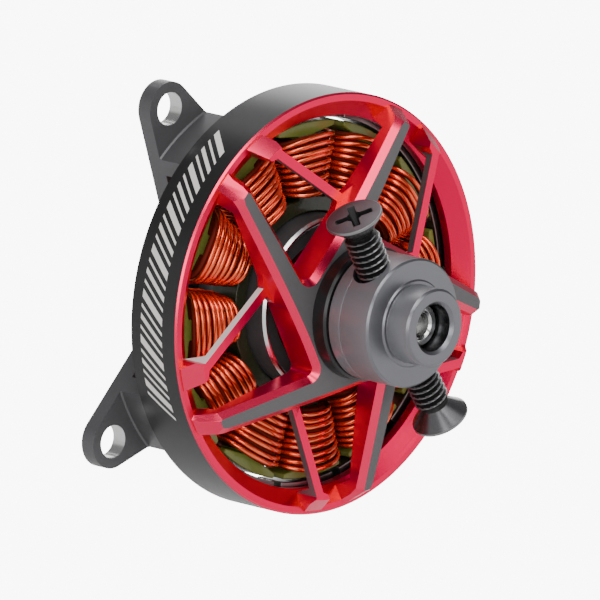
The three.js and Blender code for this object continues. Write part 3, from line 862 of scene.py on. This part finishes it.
def make_bearing(name, rear):
    """The outer race with its two shields, and the inner race; rear is the bearing's rear face."""
    front = rear - BEARING["width"]
    shield, shield_edge = SHIELD["inner"], SHIELD["outer"]
    sunk, back = SHIELD["sunk"], SHIELD["back"]
    lip = shield_edge + 0.05
    outer = lathe(f"{name}_outer_detail", [
        (lip, front), (BEARING["rim"], front), (BEARING["rim"], rear), (lip, rear),
        (shield_edge, rear - sunk), (shield, rear - sunk), (shield, rear - back),
        (BEARING["outer"], rear - back), (BEARING["outer"], front + back),
        (shield, front + back), (shield, front + sunk), (shield_edge, front + sunk),
    ], [STEEL], 120, fillet=0.03)
    settle(smooth(outer), "stator", "bearing_steel", f"{name}_outer_race")
    inner = lathe(f"{name}_inner_detail", [
        (BEARING["bore"], front), (BEARING["inner"], front),
        (BEARING["inner"], rear), (BEARING["bore"], rear),
    ], [STEEL], 96, fillet=0.08)
    settle(smooth(inner), "rotor", "bearing_steel", f"{name}_inner_race")


# ---------------------------------------------------------------- mount

def tab_outline():
    """One tab along +X: two flanks that open towards the centre and a round tip."""
    open_by = math.radians(TAB["taper"])
    root_half = TAB["tip_r"] / math.cos(open_by) + MOUNT_HOLES_AT * math.tan(open_by)
    swing = 90 - TAB["taper"]
    tip = [point + Vector((MOUNT_HOLES_AT, 0)) for point in arc(TAB["tip_r"], -swing, swing, 24)]
    return [Vector((0, -root_half)), *tip, Vector((0, root_half))]


def make_mount():
    """The cross with its four tabs, its shoulders and the bearing tube, all bored through."""
    reach = MOUNT_HOLES_AT + 5
    levels = lathe("levels", [
        (0, 0), (reach, 0), (reach, -TAB["thick"]),
        (SHOULDER["outer"] + 0.1, -TAB["thick"]), (SHOULDER["outer"], -TAB["thick"] - 0.1),
        (SHOULDER["outer"], SHOULDER["y"]), (SHOULDER["inner"], SHOULDER["y"]),
        (SHOULDER["inner"], -TAB["plate"]), (0, -TAB["plate"]),
    ], [], ROUND_STEPS, fillet=0)
    tab_angles = [45 + 90 * i for i in range(4)]
    cross, *more = (
        prism("mount_detail", turned_outline(tab_outline(), angle), SHOULDER["y"] - 1, 1)
        for angle in tab_angles)
    combine(cross, more, "UNION")
    combine(cross, [levels], "INTERSECT")
    lip = TUBE["lip"]
    tube = lathe("tube", [
        (0, TUBE["y"]), (TUBE["r"] - lip, TUBE["y"]), (TUBE["r"], TUBE["y"] + lip),
        (TUBE["r"], 0), (0, 0),
    ], [], 128, fillet=0)
    combine(cross, [tube], "UNION")
    bores = lathe("bores", [
        (0, TUBE["y"] - 1), (TUBE["recess_r"] + 1, TUBE["y"] - 1 + lip),
        (TUBE["recess_r"], TUBE["y"] + lip), (TUBE["recess_r"], TUBE["recess_y"]),
        (TUBE["bore_r"], TUBE["recess_y"]), (TUBE["bore_r"], TUBE_STOP["front"]),
        (TUBE_STOP["r"], TUBE_STOP["front"]), (TUBE_STOP["r"], TUBE_STOP["rear"]),
        (TUBE["bore_r"], TUBE_STOP["rear"]), (TUBE["bore_r"], 1), (0, 1),
    ], [], 128, fillet=0)
    centres = [polar(MOUNT_HOLES_AT, angle) for angle in tab_angles]
    holes = [disc("hole", MOUNT_HOLE_R, SHOULDER["y"], 1, centre) for centre in centres]
    combine(cross, [bores, *holes], "DIFFERENCE")
    for material in (MOUNT_BLACK, BRIGHT):
        cross.data.materials.append(material)

    black, bright = range(2)
    for polygon in cross.data.polygons:
        middle = polygon.center / MM
        place = Vector((middle.x, middle.z))
        in_hole = abs(polygon.normal.y) < 0.3 and any(
            (place - centre).length < MOUNT_HOLE_R + 0.05 for centre in centres)
        on_tube_front = middle.y < TUBE["y"] + lip
        polygon.material_index = bright if in_hole or on_tube_front else black
    rounded(cross, 0.06)
    settle(cross, "stator", "mount_anodised", "mount")


# ---------------------------------------------------------------- stator

def core_outline():
    """The round of the teeth: each is a bar with a wide tip, and the yoke shows between them."""
    half = CORE["tooth"] / 2
    reach = TIP["arc"] / 2
    root = math.sqrt(CORE["yoke_outer"] ** 2 - half ** 2)
    tooth = [
        Vector((root, -half)), Vector((TIP["neck"], -half)), polar(TIP["corner"], -reach),
        *arc(TIP["outer"], -reach, reach, 10),
        polar(TIP["corner"], reach), Vector((TIP["neck"], half)), Vector((root, half)),
        polar(CORE["yoke_outer"], TOOTH_PITCH / 2),
    ]
    points = []
    for i in range(TOOTH_COUNT):
        points += turned_outline(tooth, STATOR_PHASE + TOOTH_PITCH * i)
    return points


def make_core():
    body = prism("stator_core_detail", core_outline(), CORE["front"], CORE["rear"])
    bore = disc("bore", CORE["yoke_inner"], CORE["front"] - 1, CORE["rear"] + 1, steps=96)
    combine(body, [bore], "DIFFERENCE")
    body.data.materials.append(EPOXY)
    rounded(body, 0.2, 3)
    settle(body, "stator", "core_epoxy", "stator_core")


def sweep(path, outwards, radius, sides):
    """A round wire along a path; outwards is a direction that is never along the wire."""
    ahead = np.gradient(path, axis=0)
    ahead /= np.linalg.norm(ahead, axis=1)[:, None]
    side = np.cross(ahead, outwards)
    side /= np.linalg.norm(side, axis=1)[:, None]
    up = np.cross(side, ahead)
    turns = np.arange(sides) * 2 * math.pi / sides
    ring = np.cos(turns)[None, :, None] * up[:, None, :] + np.sin(turns)[None, :, None] * side[:, None, :]
    vertices = (path[:, None, :] + radius * ring).reshape(-1, 3)
    faces = [tuple(range(sides))]
    for row in range(len(path) - 1):
        for k in range(sides):
            a = row * sides + k
            b = row * sides + (k + 1) % sides
            faces.append((a, b, b + sides, a + sides))
    last = (len(path) - 1) * sides
    faces.append(tuple(reversed(range(last, last + sides))))
    return vertices, faces


def wander(rng, count, reach):
    """A smooth random curve through count values from -reach to reach, as a function of 0..1."""
    values = [rng.uniform(-reach, reach) for _ in range(count + 1)]

    def at(share):
        place = min(share, 0.9999) * count
        k = int(place)
        blend = (1 - math.cos(math.pi * (place - k))) / 2
        return values[k] * (1 - blend) + values[k + 1] * blend

    return at


def turn_point(outward, inset, angle):
    """A point (y, z) of the oval that a turn follows.

    outward is 0 at the coil's inner end and 1 at its outer end.
    """
    spread = COIL["inner_half"] + (COIL["outer_half"] - COIL["inner_half"]) * outward
    c, s = math.cos(angle), math.sin(angle)
    z = (spread - inset) * math.copysign(abs(c) ** COIL_BEND, c)
    y = (COIL["axial"] - inset) * math.copysign(abs(s) ** COIL_BEND, s)
    return (CORE["front"] + CORE["rear"]) / 2 + y, z


def coil_filling(wire):
    """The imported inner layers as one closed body, seen only between the outer wires."""
    sides = 32
    vertices = []
    for outward in (0.0, 1.0):
        x = COIL["inner_r"] + wire + (COIL["outer_r"] - COIL["inner_r"] - 2 * wire) * outward
        for k in range(sides):
            angle = 2 * math.pi * k / sides
            vertices.append((x, *turn_point(outward, FILLING_INSET * wire, angle)))
    return np.array(vertices), loft_faces(sides, 2)


def coil_path(seed, wire):
    """The wire's centre line round a tooth that points along +X: one layer out, one back."""
    rng = random.Random(seed)
    steps = 32
    low = COIL["inner_r"] + wire
    high = COIL["outer_r"] - wire
    layers = [
        {"turns": COIL_TURNS, "start": low, "end": high, "inset": LAYER_INSET * wire},
        {"turns": COIL_TURNS - 1, "start": high, "end": low, "inset": 0.0},
    ]
    points = []
    for layer in layers:
        turns = layer["turns"]
        lean = wander(rng, turns * 4, COIL_STRAY["along"])
        lift = wander(rng, turns * 4, COIL_STRAY["across"])
        for k in range(turns * steps):
            share = k / (turns * steps)
            x = layer["start"] + (layer["end"] - layer["start"]) * share + lean(share)
            x = min(max(x, low), high)
            outward = (x - low) / (high - low)
            inset = layer["inset"] + wire + COIL_STRAY["across"] - lift(share)
            angle = 2 * math.pi * k / steps + math.pi / 2
            bulge = COIL_BULGE * outward * math.sin(angle) ** 2
            points.append((x + bulge, *turn_point(outward, inset, angle)))
    return np.array(points)


def make_coils():
    """A coil on each tooth: two layers of wire round a filling; the first layer and the filling are painted
    shade.
    """
    sides = 8
    for i in range(TOOTH_COUNT):
        path = coil_path(i, WIRE_R)
        outwards = np.tile(np.array([1.0, 0.0, 0.0]), (len(path), 1))
        vertices, faces = sweep(path, outwards, WIRE_R, sides)
        filling, filling_faces = coil_filling(WIRE_R)
        faces += [tuple(k + len(vertices) for k in face) for face in filling_faces]
        wire_vertices = len(vertices)
        vertices = np.concatenate([vertices, filling])
        turn = math.radians(STATOR_PHASE + TOOTH_PITCH * i)
        x = vertices[:, 0] * math.cos(turn) - vertices[:, 2] * math.sin(turn)
        z = vertices[:, 0] * math.sin(turn) + vertices[:, 2] * math.cos(turn)
        vertices = np.stack([x, vertices[:, 1], z], axis=1)
        piece = new_object(f"coil_{i + 1:02d}_wire", vertices, faces, [ENAMEL, ENAMEL_SHADE])
        # The first layer and the filling take the dark copper as painted shade.
        in_first_layer = len(path) * COIL_TURNS // (2 * COIL_TURNS - 1) * sides
        for polygon in piece.data.polygons:
            hidden = polygon.vertices[0] < in_first_layer or polygon.vertices[0] >= wire_vertices
            polygon.material_index = 1 if hidden else 0
        smooth(piece, 60)
        settle(piece, "stator", "coil_enamel", f"coil_{i + 1:02d}")


# ---------------------------------------------------------------- camera, light and floor

# The camera was fitted to the photo's round edges: bell front and rear, hub, pilot and bore. Its
# roll was held at zero, and its distance at 60 bell radii by choice, as the fit hardly depends on
# it there. Then all was turned 13.8 degrees about Y, to lay the mount's tabs at 45 degrees.
CAMERA_BACK = Vector((-0.72523, -0.68615, 0.05701))
CAMERA_RIGHT = Vector((0.68442, -0.70944, 0.16811))
CAMERA_UP = Vector((-0.07491, 0.16093, 0.98411))
CAMERA_AIM = {"y": -7.5, "left": 0.12482 * BELL_R, "up": 0.01757 * BELL_R}
CAMERA_DISTANCE = 60 * BELL_R
CAMERA_LENS = 771.2

FLOOR = {"r": 290.0, "z": -55.0, "thick": 2.0}
BACKDROP = {"half": 70.0, "thick": 1.0, "behind": 500.0, "glow": 9.0}


def make_camera():
    camera = bpy.data.objects.new("camera", bpy.data.cameras.new("camera"))
    camera.data.lens = CAMERA_LENS
    camera.data.sensor_width = 36.0
    aim = Vector((0, CAMERA_AIM["y"], 0)) - CAMERA_AIM["left"] * CAMERA_RIGHT + CAMERA_AIM["up"] * CAMERA_UP
    place = (aim + CAMERA_DISTANCE * CAMERA_BACK) * MM
    turn = Matrix((CAMERA_RIGHT, CAMERA_UP, CAMERA_BACK)).transposed().to_4x4()
    camera.matrix_world = Matrix.Translation(place) @ turn
    bpy.context.scene.collection.objects.link(camera)
    bpy.context.scene.camera = camera


def softbox(name, place, width, height, power):
    """A white area light aimed at the motor; place, width and height are in metres."""
    light = bpy.data.lights.new(name, "AREA")
    light.shape = "RECTANGLE"
    light.size = width
    light.size_y = height
    light.energy = power
    obj = bpy.data.objects.new(name, light)
    obj.location = place
    obj.rotation_euler = (-Vector(place)).to_track_quat("-Z", "Y").to_euler()
    bpy.context.scene.collection.objects.link(obj)


def make_world():
    """Pale all round the horizon and greyer above and below."""
    world = bpy.data.worlds.new("studio")
    world.use_nodes = True
    tree = world.node_tree
    background = tree.nodes["Background"]
    coordinates = add_node(tree, "ShaderNodeTexCoord")
    parts = add_node(tree, "ShaderNodeSeparateXYZ")
    ramp = add_node(tree, "ShaderNodeValToRGB")
    spread = add_node(tree, "ShaderNodeMapRange")
    spread.inputs["From Min"].default_value = -1
    tree.links.new(coordinates.outputs["Generated"], parts.inputs[0])
    tree.links.new(parts.outputs["Z"], spread.inputs["Value"])
    tree.links.new(spread.outputs["Result"], ramp.inputs["Fac"])
    tree.links.new(ramp.outputs["Color"], background.inputs["Color"])
    stops = ramp.color_ramp.elements
    stops[0].position = 0.0
    stops[0].color = (0.40, 0.40, 0.41, 1)
    stops[1].position = 1.0
    stops[1].color = (0.22, 0.22, 0.23, 1)
    for position, level in ((0.36, 0.50), (0.44, 0.8), (0.56, 0.8), (0.66, 0.28)):
        stop = stops.new(position)
        stop.color = (level, level, level, 1)
    bpy.context.scene.world = world


def make_backdrop():
    """A lit white panel behind the motor, as wide as the camera sees."""
    glow = shader("lit_panel", Base_Color=(0.0, 0.0, 0.0), Roughness=1.0,
                  Emission_Color=(1.0, 1.0, 1.0), Emission_Strength=BACKDROP["glow"])
    half = BACKDROP["half"]
    corners = [Vector(p) for p in ((-half, -half), (half, -half), (half, half), (-half, half))]
    panel = prism("backdrop", corners, 0.0, BACKDROP["thick"], [glow])
    turn = Matrix((CAMERA_RIGHT, -CAMERA_BACK, CAMERA_UP)).transposed().to_4x4()
    panel.matrix_world = Matrix.Translation(-CAMERA_BACK * BACKDROP["behind"] * MM) @ turn


def make_floor():
    pale = shader("pale_floor", Base_Color=(0.85, 0.85, 0.85), Roughness=0.8)
    floor = disc("floor", FLOOR["r"], 0.0, FLOOR["thick"], steps=96)
    floor.data.materials.append(pale)
    floor.data.transform(Matrix.Rotation(math.pi / 2, 4, "X"))
    floor.location = (0, 0, FLOOR["z"] * MM)


def dress(node, material):
    """Gives a CAD node that stays as it is its material."""
    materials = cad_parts[node].data.materials
    materials.clear()
    materials.append(material)


make_cap()
make_print()
make_magnets()
make_flux_ring()
make_shaft()
make_hub()
for node_name, screw in SCREWS.items():
    make_screw(node_name, screw["angle"], screw["top"])
for bearing_name, bearing_rear in BEARING_REAR.items():
    make_bearing(bearing_name, bearing_rear)
make_mount()
make_core()
make_coils()

dress("rear_shim", STEEL)
dress("front_spacer", STEEL)
dress("retaining_clip", OXIDE)

make_world()
make_backdrop()
softbox("key", (-0.45, -0.45, 0.65), 0.5, 0.5, 4)
softbox("front_fill", (0.65, -0.65, 0.15), 0.5, 0.7, 0.8)
softbox("top", (0.15, 0.25, 0.7), 0.6, 0.4, 3.0)
softbox("behind_right", (0.56, 0.6, 0.34), 0.45, 0.46, 1.8)
softbox("above_front", (-0.02, -0.62, 0.62), 0.5, 0.35, 0.85)
softbox("by_camera", (-0.65, -0.62, 0.05), 0.45, 0.45, 2.4)
make_floor()
make_camera()
